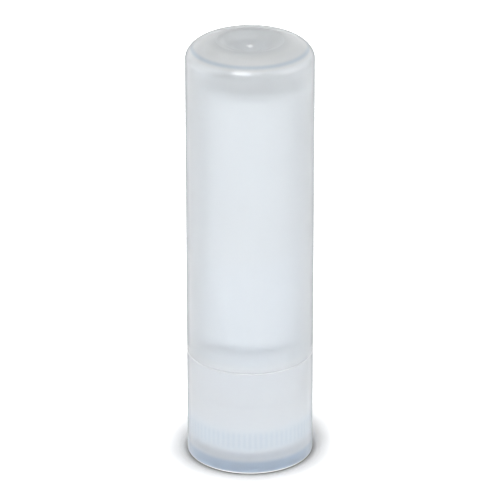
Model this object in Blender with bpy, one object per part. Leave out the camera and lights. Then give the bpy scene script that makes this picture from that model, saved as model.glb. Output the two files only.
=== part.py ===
"""A twist-up lip balm stick with its cap on, standing on z = 0 with its axis along Z. Metres.

The base sleeve grips the spindle's knurled foot, so the two turn together under the barrel. The spindle's
left-hand screw lifts the carrier, which two ribs in the barrel keep from turning, and the carrier holds the balm.
The cap slides over the barrel down to the base."""

import math

import bmesh
import bpy

# Whole stick
BODY_RADIUS = 0.0100
TOTAL_HEIGHT = 0.0695
SEAM_HEIGHT = 0.0175
SEAM_GAP = 0.0002
SEAT_GAP = 0.0003
RUNNING_CLEARANCE = 0.0002
ROUND_SEGMENTS = 60
SHAFT_SEGMENTS = 30
ARC_STEPS = 2
SHARP_ANGLE = math.radians(35)

# Cap
CAP_WALL = 0.0011
CAP_TOP_WALL = 0.0011
CAP_MOUTH_ROUND = 0.00025
CAP_MOUTH_LEAD_IN = 0.0003
CAP_CEILING_FILLET = 0.0006
SHOULDER_WIDTH = 0.0045
SHOULDER_HEIGHT = 0.0030
SHOULDER_STEPS = 7
DISH_RIM_WIDTH = 0.0002
DISH_DEPTH = 0.0010
DISH_STEPS = 5
GATE_RADIUS = 0.0005
GATE_HEIGHT = 0.0003
CAP_BEAD_HALF_WIDTH = 0.0004
CAP_BEAD_DEPTH = 0.00015

# Base sleeve
BASE_WALL = 0.0012
BASE_FLOOR = 0.0012
BASE_TOP_ROUND = 0.00025
BASE_TOP_LEAD_IN = 0.0003
FOOT_RECESS = 0.0020
FOOT_RIM_WIDTH = 0.0011
FOOT_ROUND = 0.0003
FOOT_INNER_ROUND = 0.0002
SPLINE_TEETH = 72
SPLINE_DEPTH = 0.0003
SPLINE_INSET = 0.00005
SPLINE_CLEARANCE = 0.00015

# Snap ring that keeps the barrel in the base
SNAP_HEIGHT = 0.0120
SNAP_HALF_WIDTH = 0.0006
SNAP_DEPTH = 0.00025

# Barrel
BARREL_CAP_CLEARANCE = 0.0007
BARREL_WALL = 0.0009
BARREL_SKIRT_WALL = 0.0009
BARREL_FLOOR = 0.0010
BARREL_FLOOR_ABOVE_SEAM = 0.0032
BARREL_RIM_ROUND = 0.0003
BARREL_FOOT_LEAD_IN = 0.0003
COLLAR_ABOVE_SEAM = 0.0027
COLLAR_ROUND = 0.0004
RIM_HEADSPACE = 0.0036
GUIDE_RIB_COUNT = 2
GUIDE_RIB_WIDTH = 0.0010
GUIDE_RIB_DEPTH = 0.0005
GUIDE_RIB_BELOW_RIM = 0.0012
GUIDE_CLEARANCE = 0.00015

# Spindle
SKIRT_HEIGHT = 0.0044
SKIRT_WALL = 0.0009
SPINDLE_PLATE = 0.0011
SHAFT_RADIUS = 0.0024
SHAFT_CLEARANCE = 0.0002
THRUST_RING_WIDTH = 0.0012
THRUST_RING_HEIGHT = 0.0012
CORE_TIP_CHAMFER = 0.0006
SPINDLE_BELOW_BALM_TOP = 0.0076

# Screw thread of the spindle and of the carrier's hub
THREAD_DEPTH = 0.0008
THREAD_LEAD = 0.0040
THREAD_ROOT_WIDTH = 0.0016
THREAD_CREST_WIDTH = 0.0008
THREAD_SINK = 0.0003
THREAD_START_ABOVE_SHAFT = 0.0012
THREAD_END_BELOW_TIP = 0.0016
THREAD_CLEARANCE = 0.0002
THREAD_STEPS_PER_TURN = 15

# Carrier
CARRIER_HEIGHT = 0.0140
CARRIER_WALL = 0.0010
CARRIER_FLOOR = 0.0010
CARRIER_EDGE = 0.0003
HUB_WALL = 0.0013
HUB_HEIGHT = 0.0070
HUB_MOUTH_CHAMFER = 0.0008

# Balm
BALM_BELOW_RIM = 0.0010
BALM_EDGE_ROUND = 0.0006
BALM_GAP = 0.00015
BORE_CLEARANCE = 0.0003
BORE_ABOVE_TIP = 0.0008

# Modelling
WELD_DISTANCE = 0.000001
CUT_OVERRUN = 0.0005

# Sizes that follow from the ones above
CAP_BORE = BODY_RADIUS - CAP_WALL
CAP_SEAT = SEAM_HEIGHT + SEAM_GAP
CAP_LENGTH = TOTAL_HEIGHT - CAP_SEAT
CAP_CEILING = CAP_LENGTH - DISH_DEPTH - CAP_TOP_WALL
CAP_BEAD_HEIGHT = COLLAR_ABOVE_SEAM - SEAM_GAP + RUNNING_CLEARANCE + CAP_BEAD_HALF_WIDTH
DISH_RADIUS = BODY_RADIUS - SHOULDER_WIDTH - DISH_RIM_WIDTH
BASE_BORE = BODY_RADIUS - BASE_WALL
BASE_FLOOR_TOP = FOOT_RECESS + BASE_FLOOR
SPLINE_ROOT = BASE_BORE - SPLINE_INSET
SPLINE_CREST = SPLINE_ROOT - SPLINE_DEPTH
SPINDLE_SEAT = BASE_FLOOR_TOP + SEAT_GAP
SPLINE_TOP = SPINDLE_SEAT + SKIRT_HEIGHT
KNURL_CREST = SPLINE_ROOT - SPLINE_CLEARANCE
KNURL_ROOT = SPLINE_CREST - SPLINE_CLEARANCE
SKIRT_BORE = KNURL_ROOT - SKIRT_WALL
THREAD_RADIUS = SHAFT_RADIUS
CORE_RADIUS = THREAD_RADIUS - THREAD_DEPTH
THRUST_RING_RADIUS = SHAFT_RADIUS + THRUST_RING_WIDTH
BARREL_SEAT = SPLINE_TOP + SEAT_GAP
BARREL_SKIRT_RADIUS = BASE_BORE - RUNNING_CLEARANCE
BARREL_SKIRT_BORE = BARREL_SKIRT_RADIUS - BARREL_SKIRT_WALL
BARREL_RADIUS = CAP_BORE - BARREL_CAP_CLEARANCE
BARREL_BORE = BARREL_RADIUS - BARREL_WALL
BARREL_RIM = CAP_SEAT + CAP_CEILING - RIM_HEADSPACE
BARREL_LENGTH = BARREL_RIM - BARREL_SEAT
FLOOR_TOP = SEAM_HEIGHT + BARREL_FLOOR_ABOVE_SEAM
FLOOR_UNDERSIDE = FLOOR_TOP - BARREL_FLOOR
CARRIER_SEAT = FLOOR_TOP + SEAT_GAP
CARRIER_RADIUS = BARREL_BORE - RUNNING_CLEARANCE
CARRIER_BORE = CARRIER_RADIUS - CARRIER_WALL
HUB_BORE = CORE_RADIUS + THREAD_CLEARANCE
HUB_RADIUS = THREAD_RADIUS + THREAD_CLEARANCE + HUB_WALL
SLOT_WIDTH = GUIDE_RIB_WIDTH + 2 * GUIDE_CLEARANCE
SLOT_FLOOR_RADIUS = BARREL_BORE - GUIDE_RIB_DEPTH - GUIDE_CLEARANCE
BALM_SEAT = CARRIER_SEAT + CARRIER_FLOOR + BALM_GAP
BALM_TOP = BARREL_RIM - BALM_BELOW_RIM
BALM_RADIUS = BARREL_BORE - RUNNING_CLEARANCE
SPINDLE_TIP = BALM_TOP - SPINDLE_BELOW_BALM_TOP

PLASTIC_COLOUR = (0.80, 0.84, 0.88, 1.0)
SCREW_COLOUR = (0.86, 0.88, 0.90, 1.0)
CARRIER_COLOUR = (0.90, 0.91, 0.93, 1.0)
BALM_COLOUR = (0.93, 0.91, 0.86, 1.0)


def clear_scene():
    for thing in list(bpy.data.objects):
        bpy.data.objects.remove(thing)


def plastic(name, colour, roughness):
    material = bpy.data.materials.new(name)
    material.use_nodes = True
    shader = material.node_tree.nodes["Principled BSDF"]
    shader.inputs["Base Color"].default_value = colour
    shader.inputs["Roughness"].default_value = roughness
    shader.inputs["Metallic"].default_value = 0.0
    return material


def arc(centre, radii, start, end, steps):
    """Points (radius, height) on an elliptical arc. Angles are in degrees: 0 is outwards and 90 is up."""
    points = []
    for step in range(steps + 1):
        angle = math.radians(start + (end - start) * step / steps)
        points.append((centre[0] + radii[0] * math.cos(angle), centre[1] + radii[1] * math.sin(angle)))
    return points


def finished(name, shape):
    """The bmesh as an object with smooth round faces, in the scene."""
    bmesh.ops.recalc_face_normals(shape, faces=shape.faces)
    mesh = bpy.data.meshes.new(name)
    shape.to_mesh(mesh)
    shape.free()
    mesh.shade_smooth()
    mesh.set_sharp_from_angle(angle=SHARP_ANGLE)
    thing = bpy.data.objects.new(name, mesh)
    bpy.context.collection.objects.link(thing)
    return thing


def turned(name, outline, hollow, segments=ROUND_SEGMENTS):
    """A solid turned about Z from (radius, height) points. A hollow one's outline is a closed ring of points, and
    any other starts and ends on the axis."""
    shape = bmesh.new()
    points = [shape.verts.new((radius, 0, height)) for radius, height in outline]
    edges = [shape.edges.new(pair) for pair in zip(points, points[1:])]
    if hollow:
        edges.append(shape.edges.new((points[-1], points[0])))
    bmesh.ops.spin(shape, geom=points + edges, cent=(0, 0, 0), axis=(0, 0, 1), angle=math.tau,
                   steps=segments, use_merge=True)
    bmesh.ops.remove_doubles(shape, verts=shape.verts, dist=WELD_DISTANCE)
    return finished(name, shape)


def toothed_prism(name, crest, root, bottom, top):
    """An upright prism with a V-shaped tooth for each spline tooth."""
    shape = bmesh.new()
    bmesh.ops.create_circle(shape, cap_ends=True, segments=2 * SPLINE_TEETH, radius=crest)
    for corner in shape.verts:
        place = round(math.atan2(corner.co.y, corner.co.x) * SPLINE_TEETH / math.pi)
        if place % 2:
            corner.co *= root / crest
    bmesh.ops.translate(shape, verts=shape.verts, vec=(0, 0, bottom))
    raised = bmesh.ops.extrude_face_region(shape, geom=shape.faces[:])["geom"]
    corners = [item for item in raised if isinstance(item, bmesh.types.BMVert)]
    bmesh.ops.translate(shape, verts=corners, vec=(0, 0, top - bottom))
    return finished(name, shape)


def block(name, low, high):
    """A box between two corners."""
    shape = bmesh.new()
    bmesh.ops.create_cube(shape, size=1)
    size = [b - a for a, b in zip(low, high)]
    middle = [(a + b) / 2 for a, b in zip(low, high)]
    bmesh.ops.scale(shape, verts=shape.verts, vec=size)
    bmesh.ops.translate(shape, verts=shape.verts, vec=middle)
    return finished(name, shape)


def screw_ridge(name, inner, outer, root_width, crest_width, start, end):
    """A left-hand ridge of trapezoid section round Z, whose middle climbs from start to end."""
    shape = bmesh.new()
    section = ((inner, -root_width / 2), (outer, -crest_width / 2), (outer, crest_width / 2), (inner, root_width / 2))
    corners = [shape.verts.new((radius, 0, start + height)) for radius, height in section]
    face = shape.faces.new(corners)
    steps = round((end - start) / THREAD_LEAD * THREAD_STEPS_PER_TURN)
    climb = THREAD_LEAD / THREAD_STEPS_PER_TURN
    angle = -math.tau * steps / THREAD_STEPS_PER_TURN
    bmesh.ops.spin(shape, geom=[face] + face.edges[:] + corners, cent=(0, 0, 0), axis=(0, 0, 1),
                   dvec=(0, 0, climb), angle=angle, steps=steps)
    return finished(name, shape)


def combine(piece, tool, operation):
    """Joins the tool to the piece or cuts it out, and keeps the tool as a hidden guide."""
    modifier = piece.modifiers.new(tool.name, "BOOLEAN")
    modifier.operation = operation
    modifier.object = tool
    tool.parent = piece
    tool.hide_render = True
    tool.display_type = "WIRE"


def seated(piece, height, parent, material):
    piece.location.z = height
    piece.parent = parent
    piece.data.materials.append(material)
    return piece


def dish_height(radius):
    """Height above the cap's mouth of the smooth dish in its top."""
    return CAP_LENGTH - DISH_DEPTH * (1 + math.cos(math.pi * radius / DISH_RADIUS)) / 2


def make_cap():
    """Frosted cap with a rounded shoulder, a dished top with its gate mark, and a bead inside its mouth."""
    gate = arc((0, dish_height(GATE_RADIUS)), (GATE_RADIUS, GATE_HEIGHT), 90, 0, ARC_STEPS)
    dish = []
    for step in range(1, DISH_STEPS + 1):
        radius = GATE_RADIUS + (DISH_RADIUS - GATE_RADIUS) * step / DISH_STEPS
        dish.append((radius, dish_height(radius)))
    shoulder = arc((BODY_RADIUS - SHOULDER_WIDTH, CAP_LENGTH - SHOULDER_HEIGHT), (SHOULDER_WIDTH, SHOULDER_HEIGHT),
                   90, 0, SHOULDER_STEPS)
    mouth = arc((BODY_RADIUS - CAP_MOUTH_ROUND, CAP_MOUTH_ROUND), (CAP_MOUTH_ROUND, CAP_MOUTH_ROUND),
                0, -90, ARC_STEPS)
    inside = [(CAP_BORE + CAP_MOUTH_LEAD_IN, 0),
              (CAP_BORE, CAP_MOUTH_LEAD_IN),
              (CAP_BORE, CAP_BEAD_HEIGHT - CAP_BEAD_HALF_WIDTH),
              (CAP_BORE - CAP_BEAD_DEPTH, CAP_BEAD_HEIGHT),
              (CAP_BORE, CAP_BEAD_HEIGHT + CAP_BEAD_HALF_WIDTH)]
    fillet = arc((CAP_BORE - CAP_CEILING_FILLET, CAP_CEILING - CAP_CEILING_FILLET),
                 (CAP_CEILING_FILLET, CAP_CEILING_FILLET), 0, 90, ARC_STEPS)
    return turned("cap", gate + dish + shoulder + mouth + inside + fillet + [(0, CAP_CEILING)], False)


def make_base():
    """Smooth twist sleeve with a recessed foot, a groove for the barrel's snap ring, and splines for the spindle."""
    recess = BODY_RADIUS - FOOT_RIM_WIDTH
    foot = arc((BODY_RADIUS - FOOT_ROUND, FOOT_ROUND), (FOOT_ROUND, FOOT_ROUND), -90, 0, ARC_STEPS)
    top = arc((BODY_RADIUS - BASE_TOP_ROUND, SEAM_HEIGHT - BASE_TOP_ROUND), (BASE_TOP_ROUND, BASE_TOP_ROUND),
              0, 90, ARC_STEPS)
    outline = [(0, FOOT_RECESS), (recess, FOOT_RECESS), (recess, FOOT_INNER_ROUND), (recess + FOOT_INNER_ROUND, 0)]
    outline += foot + top
    outline += [(BASE_BORE + BASE_TOP_LEAD_IN, SEAM_HEIGHT), (BASE_BORE, SEAM_HEIGHT - BASE_TOP_LEAD_IN)]
    outline += snap_profile(BASE_BORE, SNAP_HEIGHT, SNAP_HALF_WIDTH + RUNNING_CLEARANCE)
    outline += [(BASE_BORE, SPLINE_TOP), (0, SPLINE_TOP)]
    base = turned("base", outline, False)
    splines = toothed_prism("base_spline_cutter", SPLINE_ROOT, SPLINE_CREST, BASE_FLOOR_TOP, SPLINE_TOP + CUT_OVERRUN)
    combine(base, splines, "DIFFERENCE")
    return base


def snap_profile(radius, height, half_width):
    """The snap ring, or its groove, from the top down."""
    return [(radius, height + half_width),
            (radius + SNAP_DEPTH, height + half_width / 2),
            (radius + SNAP_DEPTH, height - half_width / 2),
            (radius, height - half_width)]


def make_barrel():
    """Inner tube: a skirt that turns in the base, a floor for the spindle, and a long bore with two guide ribs."""
    collar_top = SEAM_HEIGHT + COLLAR_ABOVE_SEAM - BARREL_SEAT
    floor_top = FLOOR_TOP - BARREL_SEAT
    floor_underside = FLOOR_UNDERSIDE - BARREL_SEAT
    hole = SHAFT_RADIUS + SHAFT_CLEARANCE
    collar = arc((BARREL_RADIUS, collar_top - COLLAR_ROUND), (BARREL_SKIRT_RADIUS - BARREL_RADIUS, COLLAR_ROUND),
                 0, 90, ARC_STEPS)
    rim_outside = arc((BARREL_RADIUS - BARREL_RIM_ROUND, BARREL_LENGTH - BARREL_RIM_ROUND),
                      (BARREL_RIM_ROUND, BARREL_RIM_ROUND), 0, 90, ARC_STEPS)
    rim_inside = arc((BARREL_BORE + BARREL_RIM_ROUND, BARREL_LENGTH - BARREL_RIM_ROUND),
                     (BARREL_RIM_ROUND, BARREL_RIM_ROUND), 90, 180, ARC_STEPS)
    outline = [(hole, floor_underside), (BARREL_SKIRT_BORE, floor_underside), (BARREL_SKIRT_BORE, 0),
               (BARREL_SKIRT_RADIUS - BARREL_FOOT_LEAD_IN, 0), (BARREL_SKIRT_RADIUS, BARREL_FOOT_LEAD_IN)]
    outline += reversed(snap_profile(BARREL_SKIRT_RADIUS, SNAP_HEIGHT - BARREL_SEAT, SNAP_HALF_WIDTH))
    outline += collar + rim_outside + rim_inside
    outline += [(BARREL_BORE, floor_top), (hole, floor_top)]
    barrel = turned("barrel", outline, True)
    for rib in guide_blocks("barrel_guide_rib", GUIDE_RIB_WIDTH, BARREL_BORE - GUIDE_RIB_DEPTH,
                            BARREL_BORE + BARREL_WALL / 2, floor_top - BARREL_FLOOR / 2,
                            BARREL_LENGTH - GUIDE_RIB_BELOW_RIM):
        combine(barrel, rib, "UNION")
    return barrel


def guide_blocks(name, width, inner, outer, bottom, top):
    """One upright bar for each guide rib, spread evenly round the axis from +X."""
    bars = []
    for number in range(GUIDE_RIB_COUNT):
        bar = block(f"{name}_{number + 1}", (inner, -width / 2, bottom), (outer, width / 2, top))
        bar.rotation_euler.z = math.tau * number / GUIDE_RIB_COUNT
        bars.append(bar)
    return bars


def make_spindle():
    """Screw with a knurled, hollow foot that the base grips and a thrust ring under the barrel's floor."""
    plate_underside = SKIRT_HEIGHT - SPINDLE_PLATE
    thrust_top = FLOOR_UNDERSIDE - SEAT_GAP - SPINDLE_SEAT
    shaft_top = FLOOR_TOP - SPINDLE_SEAT
    tip = SPINDLE_TIP - SPINDLE_SEAT
    spindle = toothed_prism("spindle", KNURL_CREST, KNURL_ROOT, 0, SKIRT_HEIGHT)
    shaft = turned("spindle_shaft", [
        (0, SKIRT_HEIGHT - SPINDLE_PLATE / 2),
        (SHAFT_RADIUS, SKIRT_HEIGHT - SPINDLE_PLATE / 2),
        (SHAFT_RADIUS, thrust_top - THRUST_RING_HEIGHT),
        (THRUST_RING_RADIUS, thrust_top - THRUST_RING_HEIGHT),
        (THRUST_RING_RADIUS, thrust_top),
        (SHAFT_RADIUS, thrust_top),
        (SHAFT_RADIUS, shaft_top),
        (CORE_RADIUS, shaft_top),
        (CORE_RADIUS, tip - CORE_TIP_CHAMFER),
        (CORE_RADIUS - CORE_TIP_CHAMFER, tip),
        (0, tip)], False, SHAFT_SEGMENTS)
    pocket = turned("spindle_pocket_cutter", [
        (0, -CUT_OVERRUN), (SKIRT_BORE, -CUT_OVERRUN), (SKIRT_BORE, plate_underside), (0, plate_underside)], False)
    ridge = screw_ridge("spindle_thread", CORE_RADIUS - THREAD_SINK, THREAD_RADIUS, THREAD_ROOT_WIDTH,
                        THREAD_CREST_WIDTH, shaft_top + THREAD_START_ABOVE_SHAFT, tip - THREAD_END_BELOW_TIP)
    combine(spindle, pocket, "DIFFERENCE")
    combine(spindle, shaft, "UNION")
    combine(spindle, ridge, "UNION")
    return spindle


def make_carrier():
    """Cup that holds the balm, with a threaded hub round the spindle and a slot for each guide rib."""
    mouth = HUB_BORE + HUB_MOUTH_CHAMFER
    carrier = turned("carrier", [
        (HUB_BORE, HUB_MOUTH_CHAMFER),
        (mouth, 0),
        (CARRIER_RADIUS - CARRIER_EDGE, 0),
        (CARRIER_RADIUS, CARRIER_EDGE),
        (CARRIER_RADIUS, CARRIER_HEIGHT - CARRIER_EDGE),
        (CARRIER_RADIUS - CARRIER_EDGE, CARRIER_HEIGHT),
        (CARRIER_BORE, CARRIER_HEIGHT),
        (CARRIER_BORE, CARRIER_FLOOR),
        (HUB_RADIUS, CARRIER_FLOOR),
        (HUB_RADIUS, HUB_HEIGHT),
        (HUB_BORE, HUB_HEIGHT)], True)
    thread_start = FLOOR_TOP + THREAD_START_ABOVE_SHAFT - CARRIER_SEAT
    groove = screw_ridge("carrier_thread_cutter", HUB_BORE - THREAD_SINK, THREAD_RADIUS + THREAD_CLEARANCE,
                         THREAD_ROOT_WIDTH + 2 * THREAD_CLEARANCE, THREAD_CREST_WIDTH + 2 * THREAD_CLEARANCE,
                         thread_start - THREAD_LEAD, thread_start + HUB_HEIGHT + THREAD_LEAD)
    combine(carrier, groove, "DIFFERENCE")
    for slot in guide_blocks("carrier_slot_cutter", SLOT_WIDTH, SLOT_FLOOR_RADIUS, BARREL_RADIUS,
                             -CUT_OVERRUN, CARRIER_HEIGHT + CUT_OVERRUN):
        combine(carrier, slot, "DIFFERENCE")
    return carrier


def make_balm():
    """Wax cylinder seated in the cup, bored for the hub and the spindle, and grooved by the guide ribs."""
    top = BALM_TOP - BALM_SEAT
    cup_mouth = CARRIER_SEAT + CARRIER_HEIGHT + BALM_GAP - BALM_SEAT
    hub_top = CARRIER_SEAT + HUB_HEIGHT + BALM_GAP - BALM_SEAT
    bore = THREAD_RADIUS + BORE_CLEARANCE
    bore_end = SPINDLE_TIP + BORE_ABOVE_TIP - BALM_SEAT
    outline = [(0, top)]
    outline += arc((BALM_RADIUS - BALM_EDGE_ROUND, top - BALM_EDGE_ROUND), (BALM_EDGE_ROUND, BALM_EDGE_ROUND),
                   90, 0, ARC_STEPS)
    outline += [(BALM_RADIUS, cup_mouth), (CARRIER_BORE - BALM_GAP, cup_mouth), (CARRIER_BORE - BALM_GAP, 0),
                (HUB_RADIUS + BALM_GAP, 0), (HUB_RADIUS + BALM_GAP, hub_top), (bore, hub_top), (bore, bore_end),
                (0, bore_end)]
    balm = turned("balm", outline, False)
    for slot in guide_blocks("balm_slot_cutter", SLOT_WIDTH, SLOT_FLOOR_RADIUS, BARREL_RADIUS,
                             -CUT_OVERRUN, top + CUT_OVERRUN):
        combine(balm, slot, "DIFFERENCE")
    return balm


def main():
    clear_scene()
    stick = bpy.data.objects.new("lip_balm_stick", None)
    bpy.context.collection.objects.link(stick)
    frosted = plastic("frosted_polypropylene", PLASTIC_COLOUR, 0.45)
    white = plastic("white_plastic", CARRIER_COLOUR, 0.5)
    seated(make_base(), 0, stick, frosted)
    seated(make_spindle(), SPINDLE_SEAT, stick, plastic("natural_plastic", SCREW_COLOUR, 0.5))
    seated(make_barrel(), BARREL_SEAT, stick, frosted)
    seated(make_carrier(), CARRIER_SEAT, stick, white)
    seated(make_balm(), BALM_SEAT, stick, plastic("balm_wax", BALM_COLOUR, 0.6))
    seated(make_cap(), CAP_SEAT, stick, frosted)


main()
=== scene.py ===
"""The dressed lip balm stick: a frosted cap and twist base round a white balm column, on a plain white floor.

Every piece is made round the stick's axis, in metres and in the CAD's frame, and stands for one CAD node."""

import math

import bmesh
import bpy
from mathutils import Matrix


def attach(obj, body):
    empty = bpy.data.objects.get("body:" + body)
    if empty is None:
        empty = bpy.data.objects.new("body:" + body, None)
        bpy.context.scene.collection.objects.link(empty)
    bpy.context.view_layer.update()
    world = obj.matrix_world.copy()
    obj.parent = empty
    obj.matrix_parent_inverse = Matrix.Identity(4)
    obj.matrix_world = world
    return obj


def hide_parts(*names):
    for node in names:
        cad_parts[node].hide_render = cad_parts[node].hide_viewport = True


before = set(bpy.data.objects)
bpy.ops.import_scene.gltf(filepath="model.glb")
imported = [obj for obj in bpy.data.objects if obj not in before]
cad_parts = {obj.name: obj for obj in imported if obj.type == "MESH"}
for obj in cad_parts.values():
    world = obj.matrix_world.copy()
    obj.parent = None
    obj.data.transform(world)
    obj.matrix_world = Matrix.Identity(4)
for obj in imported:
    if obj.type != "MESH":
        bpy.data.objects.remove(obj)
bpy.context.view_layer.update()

# Fineness of the visible pieces
ROUND_SEGMENTS = 192
SHAFT_SEGMENTS = 72
ARC_STEPS = 6
SHOULDER_STEPS = 24
DISH_STEPS = 16
THREAD_STEPS_PER_TURN = 40
SHARP_ANGLE = math.radians(32)
WELD_DISTANCE = 0.000001
CUT_OVERRUN = 0.0005

# Whole stick
BODY_RADIUS = 0.0100
TOTAL_HEIGHT = 0.0695
SEAM_HEIGHT = 0.0175

# Cap
CAP_MOUTH = 0.01752
CAP_BORE = 0.0089
CAP_CEILING = 0.0674
CAP_CEILING_FILLET = 0.0006
CAP_MOUTH_ROUND = 0.00025
# Heights above the mouth that the cap's two bands of painted light reach
CAP_MOUTH_LIGHT_BAND = 0.0007
CAP_MOUTH_SOFT_LIGHT_BAND = 0.0014
CAP_MIDDLE_OF_WALL = (CAP_BORE + BODY_RADIUS) / 2
CAP_MOUTH_LEAD_IN = 0.0003
SHOULDER_WIDTH = 0.0045
SHOULDER_HEIGHT = 0.0030
DISH_RADIUS = 0.0053
DISH_FLOOR_RADIUS = 0.0022
DISH_DEPTH = 0.0010
GATE_RADIUS = 0.0005
GATE_HEIGHT = 0.0003
CAP_BEAD_HEIGHT = 0.0208
CAP_BEAD_HALF_WIDTH = 0.0004
CAP_BEAD_DEPTH = 0.00015

# Base sleeve
BASE_BORE = 0.0088
BASE_FLOOR_TOP = 0.0032
BASE_TOP_ROUND = 0.00025
BASE_TOP_LEAD_IN = 0.0003
FOOT_RECESS = 0.0020
FOOT_RECESS_RADIUS = 0.0089
FOOT_ROUND = 0.0003
FOOT_INNER_ROUND = 0.0002
FOOT_CORNER_FILLET = 0.0004
SPLINE_TEETH = 72
SPLINE_TOP = 0.0079
SPLINE_ROOT = 0.00875
SPLINE_CREST = 0.00845

# Snap ring of the barrel and its groove in the base
SNAP_HEIGHT = 0.0120
SNAP_HALF_WIDTH = 0.0006
GROOVE_HALF_WIDTH = 0.0008
SNAP_DEPTH = 0.00025

# Barrel
BARREL_FOOT = 0.0082
BARREL_RIM = 0.0638
BARREL_RADIUS = 0.0082
BARREL_BORE = 0.0073
BARREL_SKIRT_RADIUS = 0.0086
BARREL_SKIRT_BORE = 0.0077
BARREL_FLOOR_UNDERSIDE = 0.0197
BARREL_FLOOR_TOP = 0.0207
BARREL_FLOOR_HOLE = 0.0026
BARREL_RIM_ROUND = 0.0003
BARREL_FOOT_LEAD_IN = 0.0003
COLLAR_TOP = 0.0202
COLLAR_FOOT = 0.0170
COLLAR_ROUND = 0.0004
RIB_WIDTH = 0.0010
RIB_RADIUS = 0.0068
RIB_BELOW_RIM = 0.0012

# Spindle
SPINDLE_FOOT = 0.0035
SPINDLE_PLATE_UNDERSIDE = 0.0068
SPINDLE_PLATE_TOP = 0.0079
SPINDLE_TIP = 0.0552
KNURL_CREST = 0.0086
KNURL_ROOT = 0.0083
SKIRT_BORE = 0.0074
SHAFT_RADIUS = 0.0024
THRUST_RING_RADIUS = 0.0036
THRUST_RING_UNDERSIDE = 0.0182
THRUST_RING_TOP = 0.0194
CORE_RADIUS = 0.0016
CORE_TIP_CHAMFER = 0.0006

# Screw thread
THREAD_RADIUS = 0.0024
THREAD_LEAD = 0.0040
THREAD_ROOT_WIDTH = 0.0016
THREAD_CREST_WIDTH = 0.0008
THREAD_SINK = 0.0003
THREAD_START = 0.0219
THREAD_END = 0.0536
THREAD_CLEARANCE = 0.0002

# Carrier
CARRIER_FOOT = 0.0210
CARRIER_RIM = 0.0350
CARRIER_RADIUS = 0.0071
CARRIER_BORE = 0.0061
CARRIER_FLOOR_TOP = 0.0220
CARRIER_EDGE = 0.0003
HUB_RADIUS = 0.0039
HUB_BORE = 0.0018
HUB_TOP = 0.0280
HUB_MOUTH_CHAMFER = 0.0008
SLOT_WIDTH = 0.0013
SLOT_FLOOR_RADIUS = 0.00665

# Balm
BALM_RADIUS = 0.0071
BALM_FOOT = 0.02215
BALM_TOP = 0.0628
BALM_EDGE_ROUND = 0.0006
BALM_SINK_DEPTH = 0.00025
BALM_PLUG_RADIUS = 0.00595
BALM_PLUG_TOP = 0.03515
BALM_HUB_RADIUS = 0.00405
BALM_HUB_TOP = 0.02815
BALM_BORE = 0.0027
BALM_BORE_TOP = 0.0560

# Camera
CAMERA_DISTANCE = 0.600
CAMERA_ELEVATION = math.radians(23.85)
CAMERA_TARGET_HEIGHT = 0.03435
CAMERA_LENS = 275.4

# Floor. Its tone in view is over 1, so that it is white past the contact shadow
FLOOR_RADIUS = 1.5
FLOOR_DROP = 0.00002
FLOOR_SEGMENTS = 96
FLOOR_TONE = 0.90
FLOOR_TONE_REFLECTED = 1.12
FLOOR_TONE_SEEN = 2.05

# Room: its level falls from the horizon to the ceiling, which starts at this upward part of a direction
HORIZON_LEVEL = 1.00
CEILING_LEVEL = 0.30
CEILING_START = 0.7
BACKDROP_SEEN = 1.0
LIGHT_BOUNCES = 48

# Contact shadow in view: reach and depth of the soft part and of the dark line under the foot's rim
CONTACT_SHADOWS = ((0.0085, 2.0), (0.0009, 1.0))
CONTACT_SHADOW_SAMPLES = 8

# Lamps: name, azimuth, elevation, width, height and power. Angles are in degrees, and azimuth grows from the
# front to the right
LAMP_DISTANCE = 0.9
LAMPS = (("key_box", -18, 46, 0.40, 0.37, 3.1), ("fill_box", 14, 46, 0.25, 0.37, 0.6),
         ("right_box", 75, 20, 0.60, 0.60, 2.0), ("left_box", -80, 20, 0.60, 0.60, 1.1))

# Frosted plastics: the roughness range of the frost, its grain, the slow clouds in the colour, and the coats
PLASTIC_IOR = 1.49
FROST = (0.276, 0.296)
FINE_FROST = (0.22, 0.27)
GRAIN_SCALE = 9000
GRAIN_DEPTH = 0.000004
GRAIN_DETAIL = 3
CLOUD_SCALE = 160
CLOUD_DETAIL = 2
CLOUD_DRAW = (1, 1, 0.3)
COAT = 0.6
CROWN_COAT = 0.8
BRIGHT_COAT = 0.9
COAT_ROUGHNESS = 0.1

# Painted shade on walls seen edge-on, in view only; how far a wall turns away where it starts and is full
CAP_EDGE_PAINTED_SHADE = (0.38, 0.43, 0.46)
SLEEVE_EDGE_PAINTED_SHADE = (0.62, 0.66, 0.69)
EDGE_FACING = (0.66, 0.90)

# Grain scale, cloud scale and grain depth of the solid-coloured pieces
SOLID_GRAIN = (7000, 200, 0.000004)
WAX_GRAIN = (2500, 300, 0.00001)

# Frosted finishes: clear colour, hazy colour and the share of light that goes through
CAP_FINISH = ((0.949, 0.976, 0.999), (0.960, 0.982, 1.000), 0.83)
CROWN_FINISH = ((0.960, 0.975, 0.985), (0.970, 0.982, 0.990), 0.66)
# Paler, less clear copy for the gate mark, a painted highlight on it
GATE_HIGHLIGHT_FINISH = ((0.910, 0.920, 0.930), (0.930, 0.940, 0.950), 0.20)
# Paler, less clear copies of the cap's plastic for the mouth's two bands of painted light
MOUTH_LIGHT_FINISH = ((0.940, 0.955, 0.970), (0.950, 0.965, 0.980), 0.55)
MOUTH_SOFT_LIGHT_FINISH = ((0.950, 0.970, 0.985), (0.960, 0.978, 0.992), 0.70)
BARREL_FINISH = ((0.980, 0.988, 0.996), (0.987, 0.993, 0.999), 0.86)
SLEEVE_FINISH = ((0.964, 0.980, 0.996), (0.974, 0.987, 0.999), 0.68)
# Paler, less clear copy for the edges at the seam, which paints a line of light along it
SEAM_LIGHT_FINISH = ((0.880, 0.895, 0.910), (0.900, 0.915, 0.930), 0.46)
# Opaque white copy for the foot's rim, a painted highlight along it
FOOT_RIM_HIGHLIGHT_FINISH = ((0.980, 0.985, 0.990), (0.985, 0.990, 0.995), 0.0)

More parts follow.
